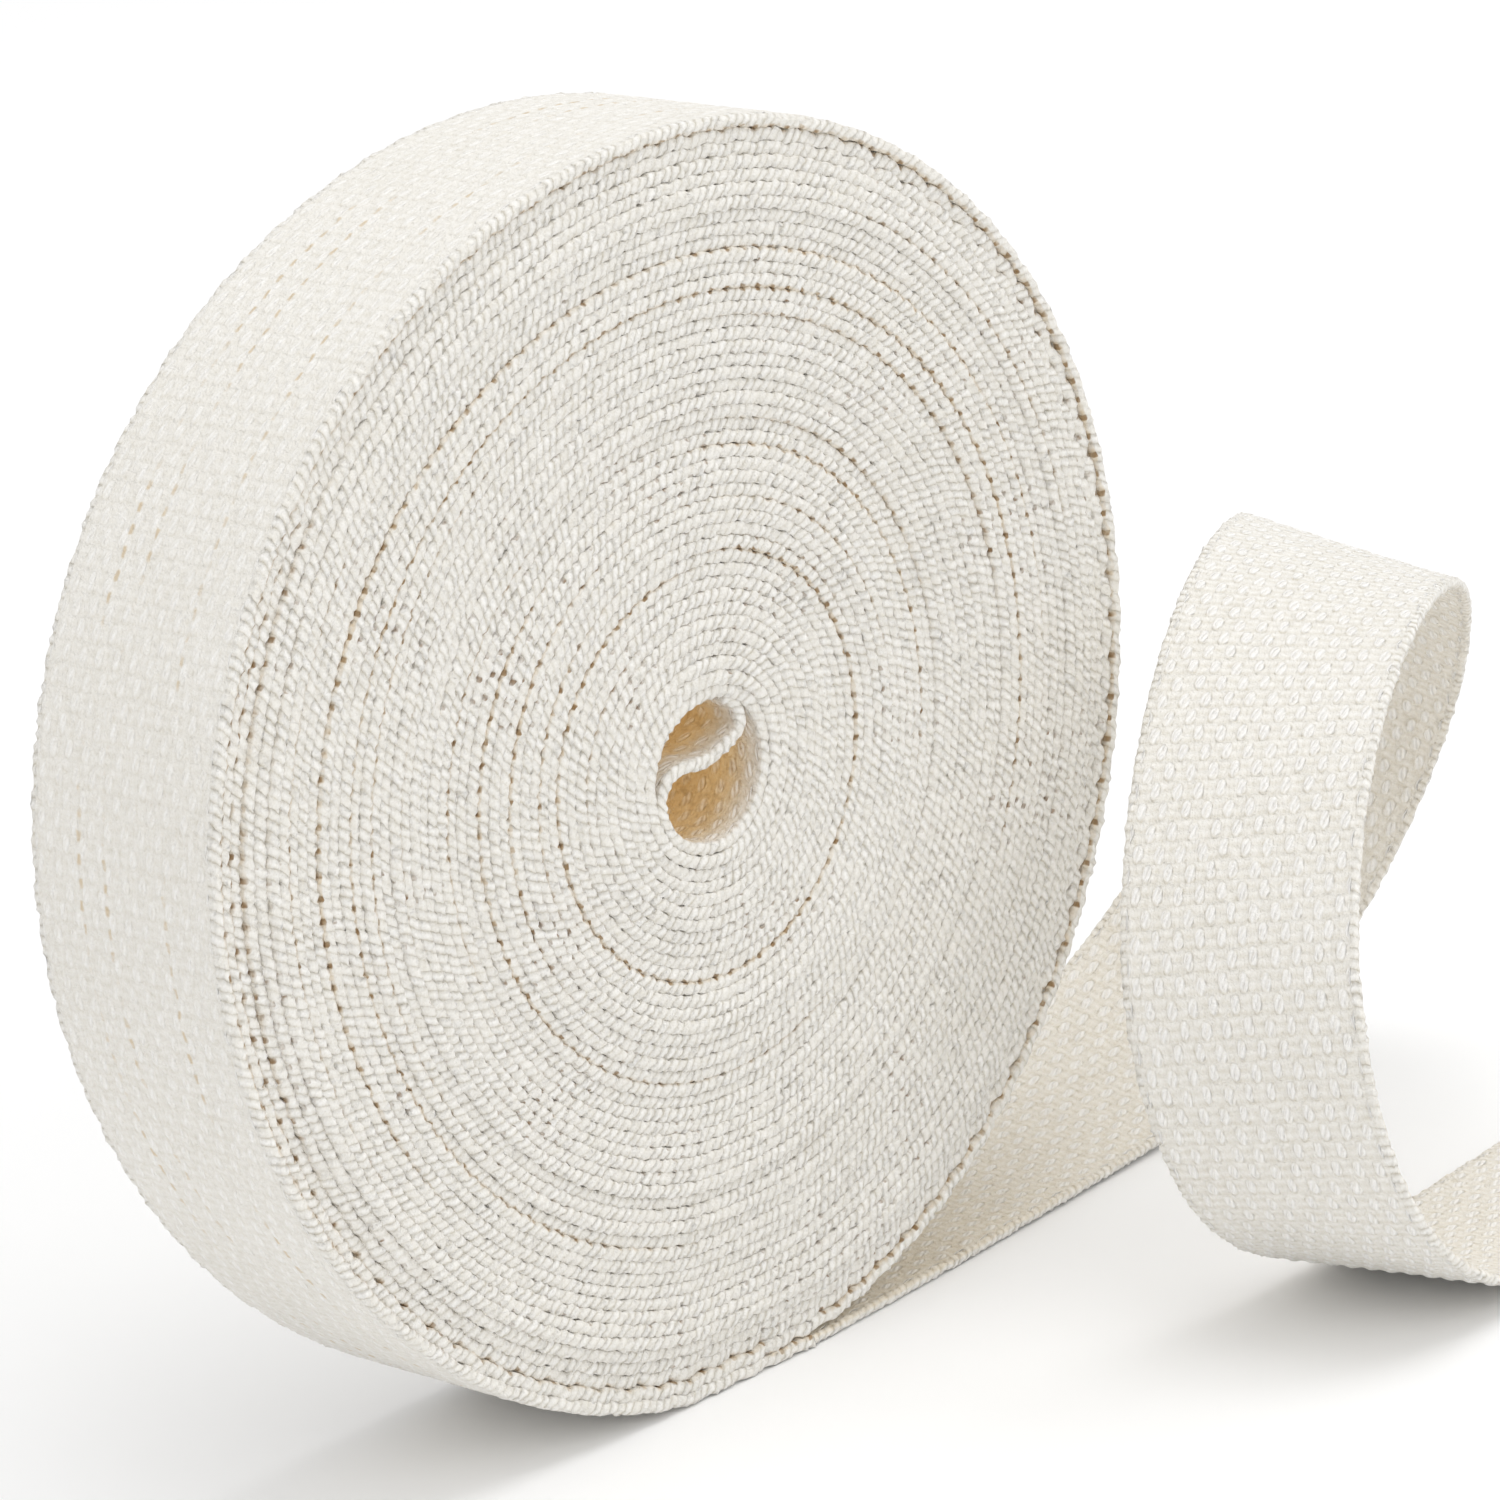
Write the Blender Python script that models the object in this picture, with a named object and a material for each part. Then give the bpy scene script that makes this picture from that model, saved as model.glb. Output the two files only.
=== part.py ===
"""A roll of cotton webbing, standing on its rim, with its loose end in one open loop.

Metres, +Z up. The origin is on the surface, under the middle of the roll. The roll's
axis lies along Y, its front face looks towards -Y, and the loose end runs out along +X.
"""

import bmesh
import bpy
import math
from mathutils import Vector

MM = 0.001

# The webbing: one inch wide, wound about 44 times round a small hole
WIDTH = 25.4 * MM
THICK = 1.3 * MM
ROLL_RADIUS = 65.2 * MM
HOLE_RADIUS = 7.4 * MM
ROLL_CENTRE_UP = 65.2 * MM
HOLE_ALONG = 0.7 * MM
HOLE_UP = -0.7 * MM
GAP = 0.3 * MM

# Where the outer turn lets go of the roll, and how finely the roll is faceted
LETS_GO_ALONG = 9.0 * MM
ROLL_COLUMNS = 120

# A hand-wound roll is not quite round: waves round the rim, and how far they stand out
OUT_OF_ROUND = (
    # waves, over the bottom and top, over the slopes
    (2, -0.48 * MM, -0.40 * MM),
    (3, 0.63 * MM, 0.35 * MM),
)

# Bands of turns that slid sideways as they were wound
BANDS = (
    # share of the way from the hole to the rim, towards the front
    (0.00, 0.10 * MM),
    (0.08, 0.45 * MM),
    (0.20, 0.00 * MM),
    (0.33, 0.40 * MM),
    (0.47, -0.20 * MM),
    (0.62, 0.35 * MM),
    (0.78, -0.10 * MM),
    (0.90, 0.30 * MM),
    (0.955, -0.45 * MM),
    (1.00, 0.15 * MM),
)
BAND_SWAY = 0.25
BAND_SWAY_LAG = 3.0

# The innermost end crosses the hole in an S, from the left wall to the upper right one
INNER_END = (
    # along, up, both from the roll's centre
    (-7.3 * MM, -3.0 * MM),
    (-6.6 * MM, -1.5 * MM),
    (-5.9 * MM, -0.2 * MM),
    (-4.4 * MM, 0.7 * MM),
    (-1.9 * MM, 0.95 * MM),
    (0.3 * MM, 0.85 * MM),
    (2.3 * MM, 0.9 * MM),
    (4.6 * MM, 1.7 * MM),
    (6.1 * MM, 3.1 * MM),
    (6.9 * MM, 5.1 * MM),
)
INNER_END_INSET = 0.4 * MM
INNER_END_STEPS = 3

# Guide rows of the loose end: ground, rise, loop, fall and ground again
LOOSE_END = (
    # along, nearer the viewer, up, degrees the near edge swings on, degrees it drops
    (9.45 * MM, 0.0 * MM, 0.65 * MM, 0.0, 0.0),
    (33.6 * MM, -1.8 * MM, 0.65 * MM, 4.5, 0.0),
    (58.2 * MM, -4.4 * MM, 1.4 * MM, 4.5, 2.4),
    (82.2 * MM, -6.4 * MM, 4.7 * MM, 6.2, 17.3),
    (105.3 * MM, -6.1 * MM, 16.0 * MM, 13.1, 25.9),
    (113.9 * MM, 3.1 * MM, 40.0 * MM, 18.0, 26.1),
    (101.9 * MM, 16.4 * MM, 58.7 * MM, 22.2, 23.2),
    (83.7 * MM, 28.8 * MM, 69.6 * MM, 26.2, 17.3),
    (61.0 * MM, 40.0 * MM, 70.8 * MM, 27.1, 4.1),
    (40.2 * MM, 49.1 * MM, 60.6 * MM, 20.7, -6.7),
    (25.4 * MM, 56.9 * MM, 40.9 * MM, 18.5, -8.3),
    (30.6 * MM, 59.0 * MM, 14.3 * MM, 11.2, -8.3),
    (52.7 * MM, 56.1 * MM, 0.65 * MM, 5.9, 0.0),
    (77.3 * MM, 53.2 * MM, 0.65 * MM, 6.5, 0.0),
    (101.5 * MM, 50.4 * MM, 0.65 * MM, 6.5, 0.0),
)
LOOSE_END_STEPS = 6
LOOSE_END_ACROSS = 2

# Natural cotton: the wound side faces are greyer, the inside of the loose end warmer
ROLL_COLOUR = (0.72, 0.67, 0.60, 1.0)
LOOSE_END_COLOUR = (0.82, 0.79, 0.73, 1.0)
COTTON_ROUGHNESS = 0.95

MERGE_DISTANCE = 0.001 * MM
SHARP_ANGLE = math.radians(35)


def cotton(name, colour):
    """A matt cotton of one colour."""
    material = bpy.data.materials.new(name)
    material.use_nodes = True
    shader = material.node_tree.nodes["Principled BSDF"]
    shader.inputs["Base Color"].default_value = colour
    shader.inputs["Roughness"].default_value = COTTON_ROUGHNESS
    shader.inputs["Metallic"].default_value = 0.0
    return material


def add_solid(name, mesh, material):
    """Put a bmesh into the scene as one named, smooth object with its own material."""
    bmesh.ops.remove_doubles(mesh, verts=mesh.verts, dist=MERGE_DISTANCE)
    bmesh.ops.recalc_face_normals(mesh, faces=mesh.faces)
    data = bpy.data.meshes.new(name)
    mesh.to_mesh(data)
    mesh.free()
    data.materials.append(material)
    data.shade_smooth()
    data.set_sharp_from_angle(angle=SHARP_ANGLE)
    solid = bpy.data.objects.new(name, data)
    bpy.context.collection.objects.link(solid)
    return solid


def rim_radius(angle, turned):
    """Radius of the rim; the angle is 0 at the bottom and grows the way the roll is wound."""
    radius = ROLL_RADIUS + THICK * (turned - 0.5)
    for waves, over_bottom, over_slopes in OUT_OF_ROUND:
        radius += over_bottom * math.cos(waves * angle)
        radius += over_slopes * math.sin(waves * angle)
    return radius


def rim_outline():
    """The rim once round, from under the roll where the outer turn lets go, back to there."""
    start = math.asin(LETS_GO_ALONG / ROLL_RADIUS)
    outline = []
    for column in range(ROLL_COLUMNS + 1):
        turned = column / ROLL_COLUMNS
        angle = start + 2 * math.pi * turned
        radius = rim_radius(angle, turned)
        lowest = THICK + GAP if turned < 0.5 else 0.0
        up = max(ROLL_CENTRE_UP - radius * math.cos(angle), lowest)
        outline.append((radius * math.sin(angle), up, angle))
    return outline


def band_offset(share, angle):
    """How far the side face stands forward there, eased from band to band."""
    for (low, low_proud), (high, high_proud) in zip(BANDS, BANDS[1:]):
        if share <= high:
            step = (share - low) / (high - low)
            eased = step * step * (3 - 2 * step)
            proud = low_proud + (high_proud - low_proud) * eased
            break
    return proud * (1 + BAND_SWAY * math.sin(angle + BAND_SWAY_LAG * share))


def roll_body():
    """The wound turns as one solid: two banded side faces, the rim, and the hole's wall."""
    mesh = bmesh.new()
    outline = rim_outline()
    faces = {}
    for side in (-1, 1):
        rings = []
        for share, _ in BANDS:
            ring = []
            for along, up, angle in outline:
                hole_along = HOLE_ALONG + HOLE_RADIUS * math.sin(angle)
                hole_up = ROLL_CENTRE_UP + HOLE_UP - HOLE_RADIUS * math.cos(angle)
                across = side * WIDTH / 2 - band_offset(share, angle)
                point = (
                    hole_along + (along - hole_along) * share,
                    across,
                    hole_up + (up - hole_up) * share,
                )
                ring.append(mesh.verts.new(point))
            rings.append(ring)
        faces[side] = rings

    def skin(ring_a, ring_b):
        for column in range(len(ring_a)):
            after = (column + 1) % len(ring_a)
            mesh.faces.new((ring_a[column], ring_a[after], ring_b[after], ring_b[column]))

    for rings in faces.values():
        for inner, outer in zip(rings, rings[1:]):
            skin(inner, outer)
    skin(faces[-1][0], faces[1][0])
    skin(faces[-1][-1], faces[1][-1])
    return mesh


def b_spline(rows, steps):
    """A smooth run of points led by the rows, starting on the first and ending on the last."""
    rows = [Vector(row) for row in rows]
    guides = [2 * rows[0] - rows[1]] + rows + [2 * rows[-1] - rows[-2]]
    points = []
    for index in range(len(rows) - 1):
        a, b, c, d = guides[index:index + 4]
        last = index == len(rows) - 2
        for step in range(steps + (1 if last else 0)):
            t = step / steps
            weight_a = (1 - t) ** 3
            weight_b = 3 * t ** 3 - 6 * t ** 2 + 4
            weight_c = -3 * t ** 3 + 3 * t ** 2 + 3 * t + 1
            points.append((a * weight_a + b * weight_b + c * weight_c + d * t ** 3) / 6)
    return points


def strip_solid(middles, widths, reach, thickness, across):
    """A closed strip of cloth along the middles; widths point to its near edge."""
    mesh = bmesh.new()
    sections = []
    for index, middle in enumerate(middles):
        before = middles[max(index - 1, 0)]
        after = middles[min(index + 1, len(middles) - 1)]
        normal = (after - before).cross(widths[index]).normalized()
        section = []
        for side in (1, -1):
            for step in range(across + 1):
                reached = reach * (2 * step / across - 1) * side
                point = middle + widths[index] * reached + normal * side * thickness / 2
                section.append(mesh.verts.new(point))
        sections.append(section)
    for section, following in zip(sections, sections[1:]):
        for corner in range(len(section)):
            beside = (corner + 1) % len(section)
            mesh.faces.new((section[corner], section[beside], following[beside], following[corner]))
    mesh.faces.new(sections[0])
    mesh.faces.new(sections[-1])
    return mesh


def inner_end_strip():
    """The innermost end, standing across the hole between the two faces."""
    middles = []
    for along, up in b_spline(INNER_END, INNER_END_STEPS):
        middles.append(Vector((along, 0.0, ROLL_CENTRE_UP + up)))
    widths = [Vector((0.0, -1.0, 0.0))] * len(middles)
    return strip_solid(middles, widths, WIDTH / 2 - INNER_END_INSET, THICK, 1)


def loose_end_strip():
    """The loose end, its width turned and leaned as the guide rows say."""
    middles = []
    widths = []
    for along, nearer, up, turn, lean in b_spline(LOOSE_END, LOOSE_END_STEPS):
        middles.append(Vector((along, -nearer, up)))
        turn = math.radians(turn)
        lean = math.radians(lean)
        flat = math.cos(lean)
        widths.append(Vector((flat * math.sin(turn), -flat * math.cos(turn), -math.sin(lean))))
    return strip_solid(middles, widths, WIDTH / 2, THICK, LOOSE_END_ACROSS)


for leftover in list(bpy.data.objects):
    bpy.data.objects.remove(leftover)

roll_cotton = cotton("wound cotton", ROLL_COLOUR)
roll = add_solid("roll", roll_body(), roll_cotton)
bridge = add_solid("inner_end_joiner", inner_end_strip(), roll_cotton)
bridge.hide_render = True
bridge.display_type = "WIRE"
join = roll.modifiers.new("Join inner end", "BOOLEAN")
join.operation = "UNION"
join.object = bridge

add_solid("loose_end", loose_end_strip(), cotton("loose cotton", LOOSE_END_COLOUR))
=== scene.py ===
"""The look of a roll of cotton webbing, wound on its rim with its loose end in one loop.

Metres, +Z up. Every turn of the roll is one run of the same webbing, from the cut end in
the hole to the cut end on the surface, so its weave goes on from piece to piece.
"""

import math

import bpy
import numpy as np
from mathutils import Matrix, Vector


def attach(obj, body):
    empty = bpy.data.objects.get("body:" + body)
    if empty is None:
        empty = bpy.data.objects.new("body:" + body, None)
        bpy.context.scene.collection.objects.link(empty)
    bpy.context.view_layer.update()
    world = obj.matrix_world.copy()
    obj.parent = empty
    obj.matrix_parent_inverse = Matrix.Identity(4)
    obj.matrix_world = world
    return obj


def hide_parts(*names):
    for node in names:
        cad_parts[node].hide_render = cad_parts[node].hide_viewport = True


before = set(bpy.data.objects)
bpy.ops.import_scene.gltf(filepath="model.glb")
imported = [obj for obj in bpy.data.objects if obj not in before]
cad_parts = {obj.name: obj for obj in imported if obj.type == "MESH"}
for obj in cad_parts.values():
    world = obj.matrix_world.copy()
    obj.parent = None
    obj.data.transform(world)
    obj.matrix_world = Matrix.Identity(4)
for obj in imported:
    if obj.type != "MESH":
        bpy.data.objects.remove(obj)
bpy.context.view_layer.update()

MM = 0.001

# The wound turns
# Forty-four turns of heavy cotton webbing, wound by hand on themselves with no core. What
# shows of them is their woven edges: a ridge a turn, with a bump for every doubled pick.

# The webbing and its weave: doubled warp ends under and over doubled weft picks
WIDTH = 25.4 * MM
THICK = 1.3 * MM
ENDS = 22
PICK = 2.25 * MM
POINTS_AN_END = 3
FLOAT_HALF_WIDTH = 0.62
WOUND_RELIEF = 0.22 * MM

# The roll, in the sizes of its solid; nothing reaches down to the surface itself
LOWEST = 0.01 * MM
TURNS = 44
ROLL_RADIUS = 65.2 * MM
ROLL_CENTRE_UP = 65.2 * MM
HOLE_ALONG = 0.7 * MM
HOLE_UP = -0.7 * MM
LETS_GO_ALONG = 9.0 * MM
GAP = 0.3 * MM
OUT_OF_ROUND = (
    # waves, over the bottom and top, over the slopes
    (2, -0.48 * MM, -0.40 * MM),
    (3, 0.63 * MM, 0.35 * MM),
)
LETS_GO_ANGLE = math.asin(LETS_GO_ALONG / ROLL_RADIUS)

# Bands of turns that slid sideways as they were wound
BANDS = (
    # share of the way from the hole to the rim, towards the front
    (0.00, 0.10 * MM),
    (0.08, 0.45 * MM),
    (0.20, 0.00 * MM),
    (0.33, 0.40 * MM),
    (0.47, -0.20 * MM),
    (0.62, 0.35 * MM),
    (0.78, -0.10 * MM),
    (0.90, 0.30 * MM),
    (0.955, -0.45 * MM),
    (1.00, 0.15 * MM),
)
BAND_SWAY = 0.25
BAND_SWAY_LAG = 3.0

# Slack between groups of turns, where the shade between the turns shows as a line
chance = np.random.default_rng(21)
GROUP_TURNS = (1.5, 3.6)
GROUP_SLACK = (0.04 * MM, 0.20 * MM)
GROUP_SLIP = 0.16 * MM
GROUP_EASE = 0.35
FIRST_GROUP = 1.4
LAST_GROUP = TURNS - 4
group_starts = [FIRST_GROUP]
while group_starts[-1] < LAST_GROUP:
    group_starts.append(group_starts[-1] + chance.uniform(*GROUP_TURNS))
group_slack = chance.uniform(*GROUP_SLACK, len(group_starts))
group_slip = chance.uniform(-GROUP_SLIP, GROUP_SLIP, len(group_starts))

# Each turn also lies a little nearer the front or the back than the one before
TURN_SLIP = 0.11 * MM
SLIPS_A_TURN = 2
turn_slips = chance.normal(0, TURN_SLIP, SLIPS_A_TURN * (TURNS + 2))

# The last turns were wound more loosely, and those round the hole follow its lumpy shape
LOOSE_TURNS = 3.2
LOOSE_SLACK = 0.11 * MM
HOLE_SHAPE = (
    # degrees round from the bottom, how far out the first turn stands there
    (13, 0.32 * MM),
    (90, -0.05 * MM),
    (127, 0.30 * MM),
    (172, -1.00 * MM),
    (215, -1.17 * MM),
    (250, -0.90 * MM),
    (293, -0.30 * MM),
    (315, 0.22 * MM),
    (344, 0.02 * MM),
)
HOLE_SHAPE_FADES = 4.0
HOLE_SHAPE_SOFTENED = (-16, -8, 0, 8, 16)

# Under the roll the last turn but one climbs over the loose end, which starts there
CLIMB_STARTS = 1.04
CLIMB_TAKES = 0.03
LIES_FLAT = 1.1


def eased(x):
    """0 to 1 as x goes from 0 to 1, with no corner at either end."""
    x = np.clip(x, 0, 1)
    return x * x * (3 - 2 * x)


def slack_at(turned):
    """How far out the loose packing puts the webbing there; none in all at the rim."""
    out = np.zeros_like(turned)
    for start, slack in zip(group_starts, group_slack):
        out += slack * eased((turned - start) / GROUP_EASE)
    out += LOOSE_SLACK * np.maximum(turned - TURNS + LOOSE_TURNS, 0)
    tighter = (sum(group_slack) + LOOSE_SLACK * LOOSE_TURNS) / (TURNS - 1)
    return out - tighter * np.clip(turned - 1, 0, TURNS - 1)


def hole_shape_at(turned, angle):
    """How far out of a true spiral the turns lie because of the hole's shape."""
    at, out = np.array(HOLE_SHAPE).T
    at, out = np.concatenate([at - 360, at, at + 360]), np.tile(out, 3)
    softened = sum(
        np.interp((np.degrees(angle) + shift) % 360, at, out) for shift in HOLE_SHAPE_SOFTENED
    ) / len(HOLE_SHAPE_SOFTENED)
    return softened * np.exp(-np.maximum(turned - 0.5, 0) / HOLE_SHAPE_FADES)


def slip_at(turned, angle):
    """How far towards the front the webbing slid there."""
    share = np.clip(turned / TURNS, 0, 1)
    proud = np.zeros_like(share)
    for (low, low_proud), (high, high_proud) in zip(BANDS, BANDS[1:]):
        inside = (share > low) if low else (share >= low)
        step = eased((share - low) / (high - low))
        proud = np.where(inside, low_proud + (high_proud - low_proud) * step, proud)
    proud *= 1 + BAND_SWAY * np.sin(angle + BAND_SWAY_LAG * share)
    before = 0.0
    for start, slip in zip(group_starts, group_slip):
        proud += (slip - before) * eased((turned - start) / GROUP_EASE)
        before = slip
    places = np.arange(len(turn_slips)) / SLIPS_A_TURN - 1
    return proud + np.interp(turned, places, turn_slips)


def wound_line(turned):
    """The middle of the webbing after so many turns from the hole, as points."""
    share = turned / TURNS
    angle = LETS_GO_ANGLE + 2 * math.pi * turned
    waves = 0
    for count, over_bottom, over_slopes in OUT_OF_ROUND:
        waves = waves + over_bottom * np.cos(count * angle) + over_slopes * np.sin(count * angle)
    rim = ROLL_RADIUS + waves
    radius = ROLL_RADIUS - THICK * (TURNS - turned) + waves * share
    radius = radius + slack_at(turned) + hole_shape_at(turned, angle)
    along = HOLE_ALONG * (1 - share) + radius * np.sin(angle)
    up = ROLL_CENTRE_UP + HOLE_UP * (1 - share) - radius * np.cos(angle)

    # the turns lie flat under the roll, and the last but one lies over the loose end
    sunk = np.maximum((rim + THICK / 2) * np.cos(angle) - ROLL_CENTRE_UP, 0)
    up = up + sunk * share ** 3
    over = eased((turned - (TURNS - CLIMB_STARTS)) / CLIMB_TAKES) * (turned < TURNS - 0.5)
    lowest = THICK / 2 + (THICK + GAP) * over
    up = np.where(turned > TURNS - LIES_FLAT, np.maximum(up, lowest), up)
    return np.stack([along, -slip_at(turned, angle), up], axis=1)


def lengths_along(points):
    """How far along the line each of its points lies."""
    steps = np.linalg.norm(np.diff(points, axis=0), axis=1)
    return np.concatenate([[0], np.cumsum(steps)])


def directions(points):
    """The unit direction of the line at each of its points."""
    after = np.gradient(points, axis=0)
    return after / np.linalg.norm(after, axis=1)[:, None]


# How much fuller or thinner than usual each yarn is where it comes to the top
MORE_PICKS_THAN_ANY_RUN = 5000
yarn_chance = chance.uniform(-1, 1, (MORE_PICKS_THAN_ANY_RUN, ENDS + 2))


def woven_height(picks, ends, side):
    """How far the yarns stand up there, from 0 between them to 1 on a warp float."""
    row, column = np.floor(picks), np.floor(ends)
    from_row, from_column = picks - row - 0.5, ends - column - 0.5
    over = (row + column + (side < 0)) % 2 == 0
    rise = np.cos(math.pi * from_row)
    warp = 0.5 + 0.5 * np.where(over, rise, -rise)
    warp = warp * np.sqrt(np.clip(1 - (from_column / FLOAT_HALF_WIDTH) ** 2, 0, 1))
    weft = 0.46 - 0.06 * np.cos(4 * math.pi * from_row)
    uneven = yarn_chance[row.astype(int), column.astype(int) + (side < 0)]
    return np.maximum(warp * (1 + 0.2 * uneven), weft * (1 - 0.15 * uneven))


# The woven edges: how far each point of their round lies from the middle of the thickness,
# and how far in from the edge; each yarn of a pick turns back there in a small slanted loop
EDGE_IN = 0.60 * MM
EDGE_SHOWN = (
    # from the middle of the thickness, in from the edge
    (0.50 * MM, 0.60 * MM),
    (0.50 * MM, 0.32 * MM),
    (0.34 * MM, 0.09 * MM),
    (0.00 * MM, 0.00 * MM),
    (-0.34 * MM, 0.09 * MM),
    (-0.50 * MM, 0.32 * MM),
    (-0.50 * MM, 0.60 * MM),
)
EDGE_PACKED = (
    # from the middle of the thickness, in from the edge
    (0.65 * MM, 0.30 * MM),
    (0.48 * MM, 0.07 * MM),
    (0.00 * MM, 0.00 * MM),
    (-0.48 * MM, 0.07 * MM),
    (-0.65 * MM, 0.30 * MM),
)

# The outermost turn has its outer side free and its inner side packed
EDGE_RIM = EDGE_SHOWN[:4] + EDGE_PACKED[3:]
HALF_THICK = THICK / 2
FACE_CLEARS_EDGE = 0.15 * MM
SHARP_ANGLE = math.radians(88)
LOOPS_A_PICK = 2
LOOP_BULGE = 0.16 * MM
LOOP_SWELL = 0.10 * MM
LOOP_SLANT = -0.40
NOTCH = 0.13 * MM
SCALLOP = 0.42 * MM
SCALLOP_MEAN = 0.64
ROUGH_FACE = 0.025 * MM
ROUGH_EDGE = 0.065 * MM
pick_chance = chance.uniform(-1, 1, (3, 2, 2, LOOPS_A_PICK * MORE_PICKS_THAN_ANY_RUN))


def edge_loops(picks, level, near):
    """How far each loop of weft stands out on the woven edge there, 0 between loops to 1."""
    lean = LOOPS_A_PICK * (picks - LOOP_SLANT * level / 2)
    uneven, early, _ = pick_chance[:, (1 + near) // 2, 0, np.floor(lean).astype(int)]
    within = lean % 1
    within = within + 0.12 * early * np.sin(math.pi * within)
    return np.sin(math.pi * within) ** 0.8 * (1 + 0.35 * uneven)


def webbing(name, line, run, woven, edge, relief, looseness, swell, crevice, shade):
    """A closed length of webbing, woven on the sides named, with its two woven edges.

    line holds its middle, the directions off its outer side and those to its near edge;
    run says how far along the whole webbing each point lies. looseness is how much the
    edges swing in scallops, swell how much thicker than loose they are on the outer and
    the inner side, crevice how open the gap to the next turn is there, and shade how much
    painted shade a point of the faces gets, standing for how little light reaches it.
    """
    points, out, wide = line
    picks = run / PICK
    half = WIDTH / 2 - EDGE_IN
    fine = (np.arange(ENDS * POINTS_AN_END) + 0.5) / POINTS_AN_END
    fine = fine[np.abs(fine - ENDS / 2) * WIDTH / ENDS < half - FACE_CLEARS_EDGE]
    section = []
    for side in (1, -1):
        if side in woven:
            section += [("face", end, side, 0) for end in (fine[::-1] if side > 0 else fine)]
        section += [("edge", -side, height, inset) for height, inset in edge[::side]]
    arc = np.abs(np.sin(math.pi * picks / 2)) - SCALLOP_MEAN
    places, weaves, hollows = [], [], []
    for kind, where, level, inset in section:
        if kind == "face":
            ends = np.full_like(picks, where)
            across = (ends - ENDS / 2) * WIDTH / ENDS
            high = level * (HALF_THICK - relief * (1 - woven_height(picks, ends, level)))
            loops = np.zeros_like(picks)
            gap = loops
        else:
            proud = 1 - inset / EDGE_IN
            level = level / HALF_THICK
            loops = edge_loops(picks, level, where)
            between_picks = np.abs(picks % 1 - 0.5) > 0.4
            across = where * (half + EDGE_IN - inset + LOOP_BULGE * (loops - 0.6) * proud)
            across = across + where * 0.5 * SCALLOP * looseness * arc * proud
            high = level * (HALF_THICK + swell[0 if level > 0 else 1])
            high = high + level * LOOP_SWELL * (loops - 0.6)
            high = high - level * NOTCH * between_picks * (inset > 0)
            high = high + SCALLOP * looseness * arc * (0.3 + proud)
            ends = np.full_like(picks, ENDS / 2 + where * (ENDS / 2 + 0.5 * proud))
            gap = crevice[0 if level > 0 else 1] * abs(level)
            level = np.full_like(picks, level)
        rough = chance.normal(0, ROUGH_EDGE if kind == "edge" else ROUGH_FACE, (2, len(picks)))
        across = across + rough[0]
        place = points + out * (high + rough[1])[:, None] + wide * across[:, None]
        places.append(place)
        weaves.append(np.stack([picks, ends, level + 0 * picks], axis=1))
        hollows.append(np.stack([shade(across, level) + 0 * picks, loops, gap], axis=1))
    count, length = len(section), len(points)
    corners = np.arange(length * count).reshape(length, count)
    corner, beside = corners[:-1], np.roll(corners[:-1], -1, axis=1)
    across_it, further = np.roll(corners[1:], -1, axis=1), corners[1:]
    quads = np.stack([corner, further, across_it, beside], axis=2).reshape(-1, 4)
    caps = [corners[0].tolist(), corners[-1][::-1].tolist()]
    mesh = bpy.data.meshes.new(name)
    places = np.stack(places, axis=1).reshape(-1, 3)
    places[:, 2] = np.maximum(places[:, 2], LOWEST)
    mesh.from_pydata(places.tolist(), [], quads.tolist() + caps)
    for attribute, values in (("weave", weaves), ("hollow", hollows)):
        values = np.stack(values, axis=1).astype(np.float32).ravel()
        mesh.attributes.new(attribute, "FLOAT_VECTOR", "POINT").data.foreach_set("vector", values)
    mesh.shade_smooth()
    mesh.set_sharp_from_angle(angle=SHARP_ANGLE)
    piece = bpy.data.objects.new(name, mesh)
    bpy.context.scene.collection.objects.link(piece)
    return piece


class Wire:
    """A socket of a finish. What is worked out from wires adds its nodes to the finish."""

    def __init__(self, socket):
        self.socket = socket

    def node(self, kind, settings, sockets, output=0):
        """Another node of the same finish: its settings first, then values or wires."""
        made = self.socket.id_data.nodes.new("ShaderNode" + kind)
        for name, value in settings.items():
            setattr(made, name, value)
        for name, value in sockets.items():
            if isinstance(value, Wire):
                self.socket.id_data.links.new(value.socket, made.inputs[name])
            else:
                made.inputs[name].default_value = value
        return Wire(made.outputs[output])

    def math(self, operation, *values):
        return self.node("Math", {"operation": operation}, dict(enumerate(values)))

    def __add__(self, other):
        return self.math("ADD", self, other)

    __radd__ = __add__

    def __sub__(self, other):
        return self.math("SUBTRACT", self, other)

    def __rsub__(self, other):
        return self.math("SUBTRACT", other, self)

    def __mul__(self, other):
        return self.math("MULTIPLY", self, other)

    __rmul__ = __mul__

    def __mod__(self, other):
        return self.math("FLOORED_MODULO", self, other)

    def floor(self):
        return self.math("FLOOR", self)

    def size(self):
        return self.math("ABSOLUTE", self)

    def sine(self):
        return self.math("SINE", self)

    def most(self, other):
        return self.math("MAXIMUM", self, other)

    def least(self, other):
        return self.math("MINIMUM", self, other)

    def between(self, low, high):
        """0 where this is low, 1 where it is high, eased between."""
        ends = {"Value": self, "From Min": low, "From Max": high}
        return self.node("MapRange", {"interpolation_type": "SMOOTHSTEP"}, ends)

    def mixed(self, first, second):
        """The first colour where this is 0, the second where it is 1."""
        colours = {"Factor": self, 6: first, 7: second}
        return self.node("Mix", {"data_type": "RGBA"}, colours, 2)
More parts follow.
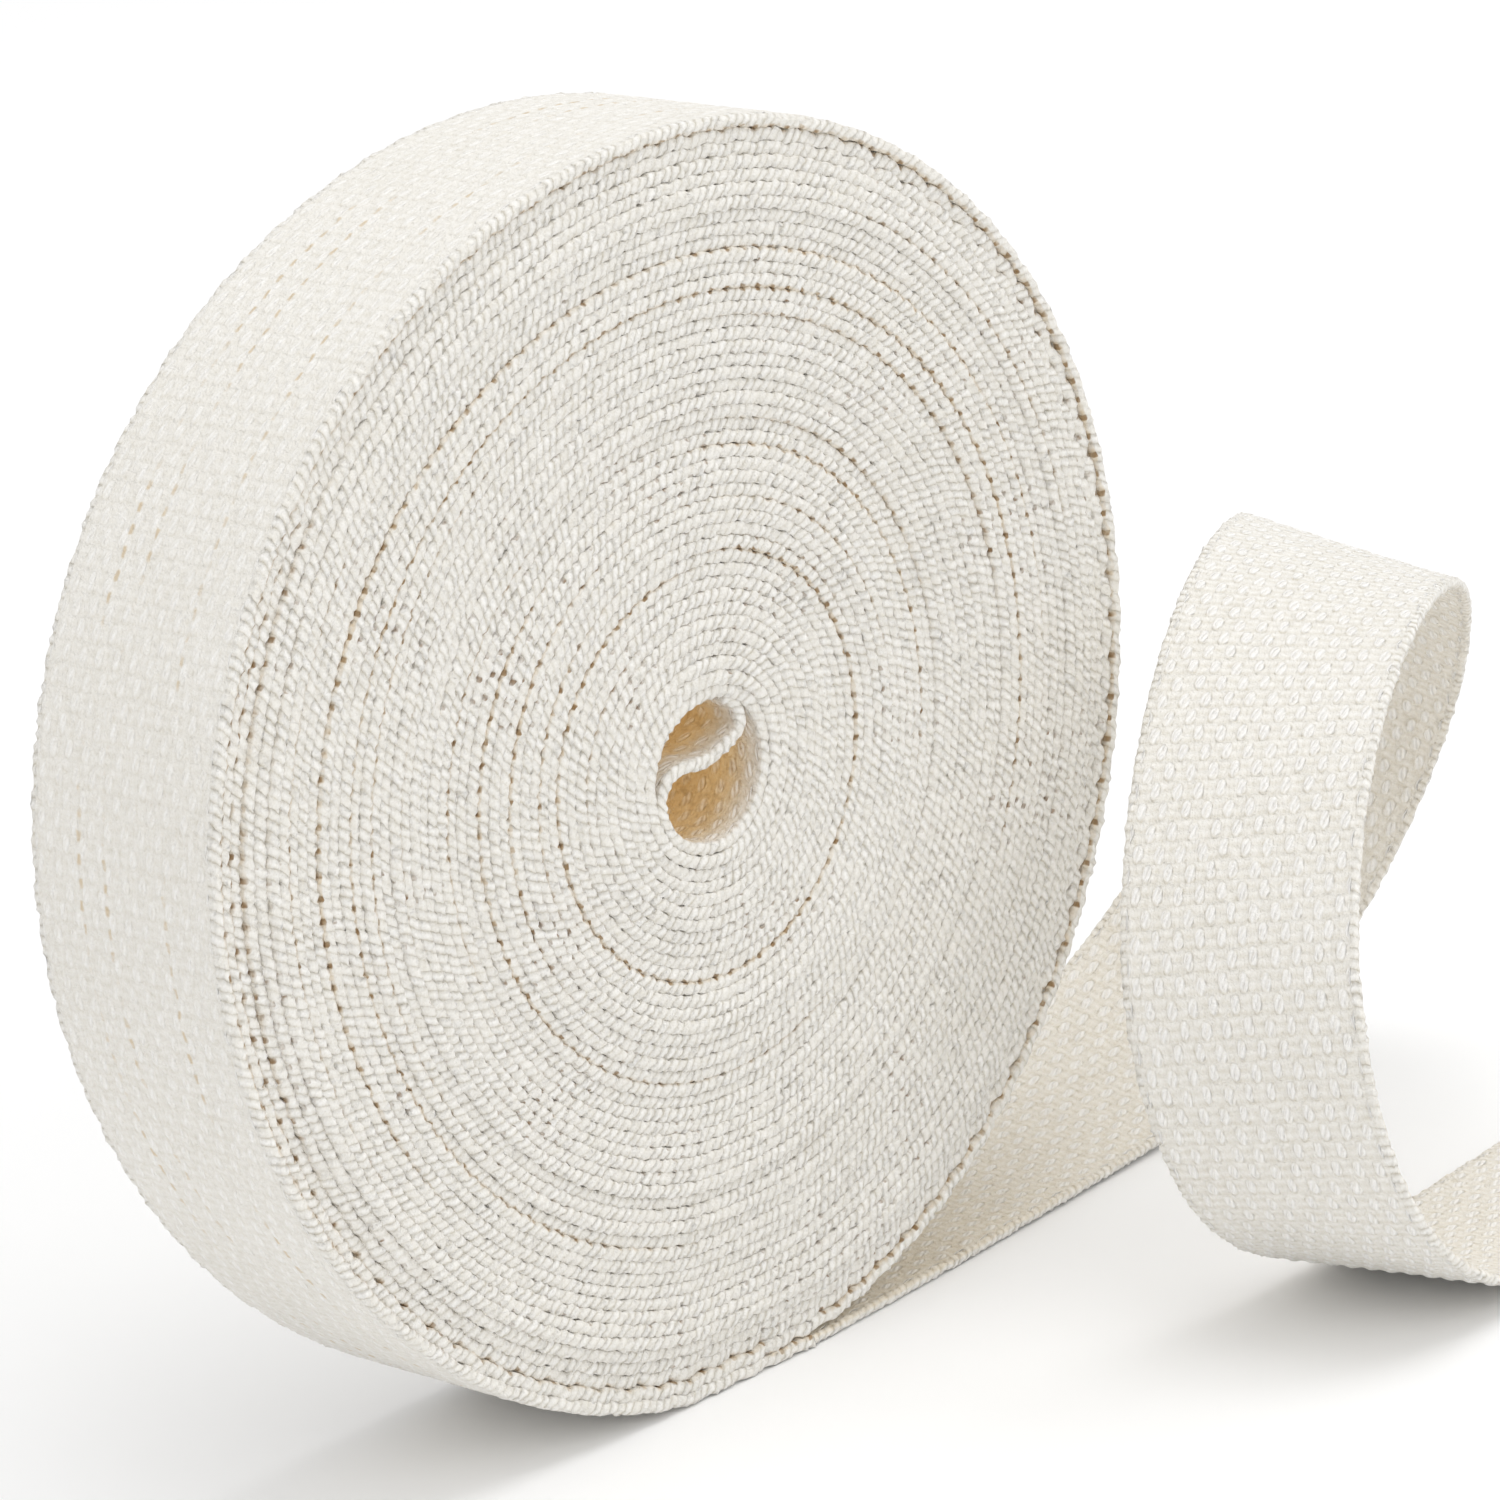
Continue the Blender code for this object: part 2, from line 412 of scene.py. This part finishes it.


# Natural cotton: its colours from painted highlights on the tops of its yarns down to painted
# shade between two turns and in the hole, its painted glow there, and how many fibres, lumps
# and clouds there are to a metre
COTTON_LIT = (0.96, 0.945, 0.915, 1)
COTTON_MID = (0.865, 0.84, 0.785, 1)
COTTON_DULL_AND_SHADED = (0.62, 0.57, 0.46, 1)
COTTON_TAN_SHADE = (0.61, 0.45, 0.24, 1)
COTTON_DEEP_SHADE = (0.25, 0.14, 0.05, 1)
COTTON_HOLE_SHADE = (0.78, 0.625, 0.37, 1)
COTTON_PAINTED_GLOW = (1.0, 0.60, 0.20, 1)
BLACK = (0, 0, 0, 1)
FIBRES = 4200.0
LUMPS = 1300.0
WANDER = 330.0
CLOUDS = 70.0
PAINTED_GLOW_STRENGTH = 0.12
FINISH_RELIEF = 0.14 * MM
NOISE_SPREAD = 2.6


def cotton(name, floats, streaks):
    """Natural cotton webbing: plied yarns, matt and a little hairy, with painted shade in its
    crevices.
    """
    material = bpy.data.materials.new(name)
    material.use_nodes = True
    shader = material.node_tree.nodes["Principled BSDF"]
    start = Wire(shader.inputs["Base Color"])

    def parts_of(attribute):
        vector = start.node("Attribute", {"attribute_name": attribute}, {}, 1)
        apart = start.node("SeparateXYZ", {}, {"Vector": vector}).socket.node
        return [Wire(output) for output in apart.outputs]

    picks, ends, level = parts_of("weave")
    shaded, loops, gap = parts_of("hollow")
    place = start.node("TexCoord", {}, {}, 3)

    def noise(vector, scale, detail):
        sockets = {"Vector": vector, "Scale": scale, "Detail": detail}
        return (start.node("TexNoise", {}, sockets) - 0.5) * NOISE_SPREAD

    # fibres and small lumps of the yarn, streaks along it, and slow changes of the cloth
    streaky = start.node("CombineXYZ", {}, {"X": picks * 0.9, "Y": ends * 3.2, "Z": level})
    fibres = noise(place, FIBRES, 2.0)
    lumps = noise(place, LUMPS, 1.0)
    strokes = noise(streaky, 1.0, 2.0)
    wander = noise(place, WANDER, 1.0)
    cloudy = noise(place, CLOUDS, 3.0)

    # which yarns lie on top there, each float a little out of line
    weave_row, weave_column = picks + wander * 0.07, ends + wander * 0.12
    row, column = weave_row.floor(), weave_column.floor()
    side = level.between(0.1, -0.1)
    cell = start.node("CombineXYZ", {}, {"X": row, "Y": column, "Z": side})
    own = start.node("TexWhiteNoise", {"noise_dimensions": "3D"}, {"Vector": cell}, 0)
    odd = start.node("TexWhiteNoise", {"noise_dimensions": "3D"}, {"Vector": cell}, 1)
    odd_parts = start.node("SeparateXYZ", {}, {"Vector": odd}).socket.node.outputs
    odd_row, odd_column = (Wire(odd_parts[axis]) - 0.5 for axis in (0, 1))
    from_row = weave_row - row - 0.5 + odd_row * 0.22 + lumps * 0.05
    from_column = weave_column - column - 0.5 + odd_column * 0.16 + lumps * 0.08
    over = ((row + column + side) % 2).between(0.6, 0.4)
    at_edge = (ends - ENDS / 2).size().between(ENDS / 2 - 0.5, ENDS / 2 - 0.2)
    petal = from_row * from_row * 5.6 + from_column * from_column * (3.6 + own * 2)
    petal = petal + lumps * 0.22 + fibres * 0.12
    on_warp = over * petal.between(1.35, 0.2) * (1 - at_edge)
    # a painted shadow in a ring round each warp float, darkening the ground beside it
    shadow = over * petal.between(0.8, 1.2) * petal.between(2.0, 1.3) * (1 - at_edge)

    # the slanting strands of a warp float, and the two level yarns of the weft
    strands = ((ends * 3.2 + picks * 2.6 + own) * math.pi).sine()
    weft_yarns = (weave_row * 4 * math.pi).sine()
    loop_at = picks * LOOPS_A_PICK - level * LOOP_SLANT + wander * 0.3
    loop_own = start.node("TexWhiteNoise", {"noise_dimensions": "1D"}, {"W": loop_at.floor()})
    loop_lean = loop_at % 1 - 0.5
    loop_round = 0.6 - loop_lean * loop_lean * 6
    cloth = on_warp * (0.3 + strands * 0.5 + own * 0.3)
    cloth = (cloth + (1 - on_warp) * (weft_yarns * 0.26 - shadow * 0.35)) * floats
    edge = loop_round * (0.25 + loop_own * 0.75) + loops * 0.25 - 0.2
    rough = fibres * 0.55 + lumps * 0.50 + strokes * 0.40
    yarns = cloth * (1 - at_edge) + edge * at_edge + rough * 0.8

    # colour: painted highlights whitest on the floats and loops, painted shade duller between the
    # yarns
    lit = yarns + cloudy * 0.12 + on_warp * (0.5 * floats)
    colour = lit.between(-1.6, 0.3).mixed(COTTON_DULL_AND_SHADED, COTTON_MID)
    colour = lit.between(0.0, 1.1).mixed(colour, COTTON_LIT)

    # painted shade: tan in the crevices between turns, and a painted shadow as a brown dot in
    # them between two picks
    crevice = level.size().between(0.4, 0.75) * at_edge
    between_picks = (picks % 1 - 0.5 + wander * 0.08).size().between(0.28, 0.46)
    patchy = (cloudy * 0.8 + lumps * 0.5 + 0.45).most(0)
    open_line = gap.between(0.3, 0.9)
    crevice_shade = crevice * open_line * (0.1 + between_picks * 0.45 + patchy * 0.4 + lumps * 0.25)
    colour = crevice_shade.least(0.75).most(0).mixed(colour, COTTON_TAN_SHADE)
    notch_shadows = (crevice * between_picks * gap.between(0.0, 0.05)).between(0.2, 0.85)
    notch_shadows = notch_shadows * (open_line * 0.45 + patchy * 0.75).between(0.35, 0.85)
    colour = (notch_shadows * (0.7 + lumps * 0.3)).least(1).most(0).mixed(colour, COTTON_DEEP_SHADE)
    # painted shade: tan dashes along the lines between a few warp ends of the rim, broken between
    # picks
    for streak in streaks:
        line = (ends - streak + wander * 0.25 + lumps * 0.1).size().between(0.3, 0.05)
        line = line * (picks % 1 - 0.5 + lumps * 0.1).size().between(0.2, 0.35)
        line = line * (cloudy + lumps * 0.3).between(-0.3, 0.3) * level.between(0.9, 0.99)
        colour = (line * 0.65).mixed(colour, COTTON_TAN_SHADE)
    # painted shade in the hole: ochre, lighter on the floats, with darker painted shade in specks
    shade = (shaded * (1.0 - rough * 0.4 - on_warp * 0.5)).least(1).most(0)
    colour = shade.mixed(colour, COTTON_HOLE_SHADE)
    hole_shade_specks = shaded * (0 - lumps * 0.8 - wander * 0.7).between(0.0, 1.0)
    colour = (hole_shade_specks * 0.55).mixed(colour, COTTON_DEEP_SHADE)
    # painted glow: deep in the hole the cotton glows as though lit through the cotton
    painted_glow = (shaded * shaded).mixed(BLACK, COTTON_PAINTED_GLOW)
    bump = start.node("Bump", {}, {"Strength": 1.0, "Distance": FINISH_RELIEF, "Height": yarns})
    link = material.node_tree.links.new
    link(colour.socket, shader.inputs["Base Color"])
    link(painted_glow.socket, shader.inputs["Emission Color"])
    link((0.9 + 0.08 * fibres).socket, shader.inputs["Roughness"])
    link(bump.socket, shader.inputs["Normal"])
    shader.inputs["Emission Strength"].default_value = PAINTED_GLOW_STRENGTH
    shader.inputs["Sheen Weight"].default_value = 0.2
    shader.inputs["Sheen Roughness"].default_value = 0.5
    shader.inputs["Specular IOR Level"].default_value = 0.2
    return material


# The end in the hole crosses it in an S before it runs on as the first turn
INNER_END = (
    # along, up, both from the roll's centre
    (4.2 * MM, 5.9 * MM),
    (5.7 * MM, 4.8 * MM),
    (6.4 * MM, 3.2 * MM),
    (5.9 * MM, 1.9 * MM),
    (4.8 * MM, 1.25 * MM),
    (2.9 * MM, 0.5 * MM),
    (1.5 * MM, 0.15 * MM),
    (-0.6 * MM, 0.1 * MM),
    (-1.9 * MM, 0.25 * MM),
    (-3.5 * MM, 0.05 * MM),
    (-4.7 * MM, -0.6 * MM),
    (-5.6 * MM, -1.8 * MM),
)
INNER_END_BACK = 0.4 * MM
INNER_END_STEPS = 24
JOINS_AT = (-0.21, -0.16)
WOUND_STEPS = 60000


def smooth_line(guides, steps):
    """A smooth line through the guides, from the first to the last but one."""
    guides = np.vstack([2 * guides[0] - guides[1], guides])
    line = []
    for a, b, c, d in zip(guides, guides[1:], guides[2:], guides[3:]):
        for step in range(steps):
            t = step / steps
            line.append(
                0.5 * ((2 * b) + (c - a) * t + (2 * a - 5 * b + 4 * c - d) * t ** 2
                       + (3 * b - a - 3 * c + d) * t ** 3)
            )
    line.append(guides[-2])
    return np.array(line)


joins = wound_line(np.array(JOINS_AT))
guides = [
    (along, joins[0][1] + INNER_END_BACK, ROLL_CENTRE_UP + up) for along, up in INNER_END
]
inner_line = smooth_line(np.vstack([guides, joins]), INNER_END_STEPS)
turned = np.linspace(JOINS_AT[0], TURNS, WOUND_STEPS)
roll_line = np.vstack([inner_line[:-1], wound_line(turned)])
roll_run = lengths_along(roll_line)
roll_ahead = directions(roll_line) * (1, 0, 1)
roll_turned = np.concatenate([np.full(len(inner_line) - 1, JOINS_AT[0]), turned])


def along(run, whole_run, values):
    """The values of a line's points, read off at each place of run along it."""
    if values.ndim == 1:
        return np.interp(run, whole_run, values)
    return np.stack([np.interp(run, whole_run, axis) for axis in values.T], axis=1)


def columns_between(first, last, a_pick):
    """Where the columns of a piece lie along the webbing, a few to every pick."""
    step = PICK / a_pick
    inside = (np.arange(math.ceil(first / step), math.ceil(last / step)) + 0.5) * step
    inside = inside[(inside > first + 0.2 * step) & (inside < last - 0.2 * step)]
    return np.concatenate([[first], inside, [last]])


# Packed turns press on each other, and their soft edges swell to fill what room there is
SWELL_PRESSED = 0.07 * MM
SWELL_MOST = 0.12 * MM
SWELL_HOLE = 0.16 * MM
CREVICE_OPEN = 0.13 * MM

# The edges of the last turns swing in scallops, those of the outermost turn less than half
SCALLOPED_TURNS = 4
SCALLOPS_GROW = 1.5
RIM_SMOOTHER = 0.55


def wound_piece(name, first, last, a_pick, woven, edge, shade):
    """The webbing of the roll between two turns, counted from the hole."""
    first, last = (0 if turn is None else np.interp(turn, turned, roll_run[-len(turned):])
                   for turn in (first, last))
    run = columns_between(first, last, a_pick)
    at = along(run, roll_run, roll_turned)
    ahead = along(run, roll_run, roll_ahead)
    ahead /= np.linalg.norm(ahead, axis=1)[:, None]
    wide = np.tile([0.0, -1.0, 0.0], (len(run), 1))
    line = along(run, roll_run, roll_line), np.cross(ahead, wide), wide
    looser = eased((at - TURNS + SCALLOPED_TURNS) / SCALLOPS_GROW)
    looser = looser * (1 - RIM_SMOOTHER * eased((at - TURNS + 1.2) / 0.4))
    here = wound_line(at)
    swell, crevice = [], []
    for side in (1, -1):
        room = np.linalg.norm((wound_line(at + side) - here)[:, (0, 2)], axis=1)
        most = SWELL_MOST + SWELL_HOLE * eased((5 - at) / 3)
        swell.append(np.minimum(room / 2 + SWELL_PRESSED - HALF_THICK, most))
        opened = 0.1 + 0.9 * eased((room - THICK) / CREVICE_OPEN)
        crevice.append(opened * (0.3 + 0.7 * eased((at - 3) / 6)) * (1 - 0.3 * looser))
    packed = (at < TURNS - 1) & (at > 0.1)
    swell[0] = swell[0] * packed
    crevice[0] = crevice[0] * packed
    swell[1] = swell[1] * (at > 1)
    crevice[1] = crevice[1] * (at > 1)
    piece = webbing(
        name, line, run, woven, edge, WOUND_RELIEF, looser, swell, crevice, shade
    )
    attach(piece, "root")
    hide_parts("roll")
    return piece


def unshaded(across, level):
    return 0.0


wound_cotton = cotton("wound cotton", 1.0, ())
rim_cotton = cotton("rim cotton", 0.45, (6, 9, 16))
PIECES = (
    # name, first and last turn, columns a pick, woven faces, edge, finish
    ("inner_turns", 1.3, 17, 6, (), EDGE_PACKED, wound_cotton),
    ("middle_turns", 17, 25, 6, (), EDGE_PACKED, wound_cotton),
    ("packed_turns", 25, 31.5, 6, (), EDGE_PACKED, wound_cotton),
    ("outer_turns", 31.5, 37.5, 6, (), EDGE_PACKED, wound_cotton),
    ("last_turns", 37.5, 43, 6, (), EDGE_PACKED, wound_cotton),
    ("rim_turn", 43, 44, 4, (1,), EDGE_RIM, rim_cotton),
)
for name, first, last, a_pick, woven, edge, finish in PIECES:
    piece = wound_piece(name, first, last, a_pick, woven, edge, unshaded)
    piece.data.materials.append(finish)

# The inner end
# The same webbing's cut end. It crosses the hole in an S, and its faces wall the hole, so
# they are woven here; deep in the hole only light that went through cotton reaches them,
# which is painted as ochre shade with a faint painted glow.
HOLE_SHADE_DEPTH = 5.5 * MM


def hole_shade(across, level):
    """Painted shade: ochre deeper than the edges, with the lit cotton left near them."""
    return 0.95 * eased((WIDTH / 2 - np.abs(across)) / HOLE_SHADE_DEPTH)


inner_end = wound_piece("inner_end", None, 1.3, 4, (1, -1), EDGE_PACKED, hole_shade)
inner_end.data.materials.append(wound_cotton)

# The loose end
# The last third of a metre of the same webbing. It runs out along the surface from under
# the roll, stands up in one open loop by its own stiffness, and ends in a straight cut.
LOOSE_END = (
    # along, nearer the viewer, up, degrees the near edge swings on, degrees it drops
    (9.45 * MM, 0.0 * MM, 0.65 * MM, 0.0, 0.0),
    (33.6 * MM, -1.8 * MM, 0.65 * MM, 4.5, 0.0),
    (58.2 * MM, -4.4 * MM, 1.4 * MM, 4.5, 2.4),
    (82.2 * MM, -6.4 * MM, 4.7 * MM, 6.2, 17.3),
    (105.3 * MM, -6.1 * MM, 16.0 * MM, 13.1, 25.9),
    (113.9 * MM, 3.1 * MM, 40.0 * MM, 18.0, 26.1),
    (101.9 * MM, 16.4 * MM, 58.7 * MM, 22.2, 23.2),
    (83.7 * MM, 28.8 * MM, 69.6 * MM, 26.2, 17.3),
    (61.0 * MM, 40.0 * MM, 70.8 * MM, 27.1, 4.1),
    (40.2 * MM, 49.1 * MM, 60.6 * MM, 20.7, -6.7),
    (25.4 * MM, 56.9 * MM, 40.9 * MM, 18.5, -8.3),
    (30.6 * MM, 59.0 * MM, 14.3 * MM, 11.2, -8.3),
    (52.7 * MM, 56.1 * MM, 0.65 * MM, 5.9, 0.0),
    (77.3 * MM, 53.2 * MM, 0.65 * MM, 6.5, 0.0),
    (101.5 * MM, 50.4 * MM, 0.65 * MM, 6.5, 0.0),
)
LOOSE_END_STEPS = 40
LOOSE_COLUMNS_A_PICK = 4
LOOSE_RELIEF = 0.34 * MM


def led_line(rows, steps):
    """A smooth run led by the rows, starting on the first and ending on the last."""
    rows = np.array(rows)
    guides = np.vstack([2 * rows[0] - rows[1], rows, 2 * rows[-1] - rows[-2]])
    line = []
    for a, b, c, d in zip(guides, guides[1:], guides[2:], guides[3:]):
        for t in np.arange(steps) / steps:
            weight_a = (1 - t) ** 3
            weight_b = 3 * t ** 3 - 6 * t ** 2 + 4
            weight_c = -3 * t ** 3 + 3 * t ** 2 + 3 * t + 1
            line.append((a * weight_a + b * weight_b + c * weight_c + d * t ** 3) / 6)
    line.append(rows[-1])
    return np.array(line)


led = led_line(LOOSE_END, LOOSE_END_STEPS)
leaves = roll_line[-1]
led = np.vstack([[leaves[0], -leaves[1], leaves[2], 0, 0], led])
loose_line = np.stack([led[:, 0], -led[:, 1], led[:, 2]], axis=1)
loose_run = roll_run[-1] + lengths_along(loose_line)
run = columns_between(loose_run[0], loose_run[-1], LOOSE_COLUMNS_A_PICK)
points = along(run, loose_run, loose_line)
ahead = along(run, loose_run, directions(loose_line))
turn, lean = np.radians(along(run, loose_run, led[:, 3:5])).T
wide = np.stack(
    [np.cos(lean) * np.sin(turn), -np.cos(lean) * np.cos(turn), -np.sin(lean)], axis=1
)
out = np.cross(ahead, wide)
out /= np.linalg.norm(out, axis=1)[:, None]


NEAR_ROLL = 75 * MM
NEAR_ROLL_FADES = 60 * MM
NEAR_ROLL_SHADE = 0.2
INSIDE_SHADE = 0.12


def inside_shade(across, level):
    """Painted shade: the inside of the loop is painted warmer, most of all where it comes from
    under the roll.
    """
    near_roll = eased((loose_run[0] + NEAR_ROLL - run) / NEAR_ROLL_FADES)
    return (INSIDE_SHADE + NEAR_ROLL_SHADE * near_roll) * (level < 0)


free = np.zeros_like(run)
loose_end = webbing(
    "loose_end_webbing", (points, out, wide), run, (1, -1), EDGE_SHOWN, LOOSE_RELIEF,
    free, (free, free), (free, free), inside_shade,
)
loose_end.data.materials.append(cotton("loose cotton", 1.0, ()))
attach(loose_end, "root")
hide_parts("loose_end")

# The surface, the light and the camera
# A plain white surface, lit softly from above and from all round.
FLOOR_HALF = 4.0
FLOOR_COLOUR = (0.95, 0.95, 0.95, 1)
FLOOR_ROUGHNESS = 0.9
ROOM_LIGHT = 0.76
LAMP_SIZE = 1.5
LAMPS_AIM = Vector((0.02, 0, 0.05))
floor_mesh = bpy.data.meshes.new("floor")
floor_mesh.from_pydata(
    [(-FLOOR_HALF, -FLOOR_HALF, 0), (FLOOR_HALF, -FLOOR_HALF, 0),
     (FLOOR_HALF, FLOOR_HALF, 0), (-FLOOR_HALF, FLOOR_HALF, 0)],
    [], [(0, 1, 2, 3)],
)
floor = bpy.data.objects.new("floor", floor_mesh)
bpy.context.scene.collection.objects.link(floor)
floor_paint = bpy.data.materials.new("white surface")
floor_paint.use_nodes = True
floor_shader = floor_paint.node_tree.nodes["Principled BSDF"]
floor_shader.inputs["Base Color"].default_value = FLOOR_COLOUR
floor_shader.inputs["Roughness"].default_value = FLOOR_ROUGHNESS
floor_mesh.materials.append(floor_paint)

world = bpy.data.worlds.new("studio")
world.use_nodes = True
world.node_tree.nodes["Background"].inputs["Color"].default_value = (1, 1, 1, 1)
world.node_tree.nodes["Background"].inputs["Strength"].default_value = ROOM_LIGHT
bpy.context.scene.world = world
bpy.context.scene.view_settings.view_transform = "Standard"

LAMPS = (
    # name, place, power in watts
    ("light_above", (0.0, -0.3, 2.6), 17.0),
    ("light_before", (-0.5, -2.0, 1.6), 8.0),
    ("light_beside", (1.5, -0.8, 2.0), 9.0),
)
for name, place, power in LAMPS:
    lamp = bpy.data.lights.new(name, "AREA")
    lamp.size = LAMP_SIZE
    lamp.energy = power
    holder = bpy.data.objects.new(name, lamp)
    holder.location = place
    holder.rotation_euler = (LAMPS_AIM - Vector(place)).to_track_quat("-Z", "Y").to_euler()
    bpy.context.scene.collection.objects.link(holder)

CAMERA_PLACE = Vector((-0.47383, -0.47597, 0.26755))
CAMERA_RIGHT = Vector((0.6746, -0.7340, -0.0784)).normalized()
CAMERA_UP = Vector((0.2653, 0.1420, 0.9537))
CAMERA_LENS = 168
camera_back = CAMERA_RIGHT.cross(CAMERA_UP).normalized()
camera_up = camera_back.cross(CAMERA_RIGHT)
camera_data = bpy.data.cameras.new("camera")
camera_data.lens = CAMERA_LENS
camera_data.sensor_width = 36
camera = bpy.data.objects.new("camera", camera_data)
camera.matrix_world = (
    Matrix.Translation(CAMERA_PLACE)
    @ Matrix((CAMERA_RIGHT, camera_up, camera_back)).transposed().to_4x4()
)
bpy.context.scene.collection.objects.link(camera)
bpy.context.scene.camera = camera
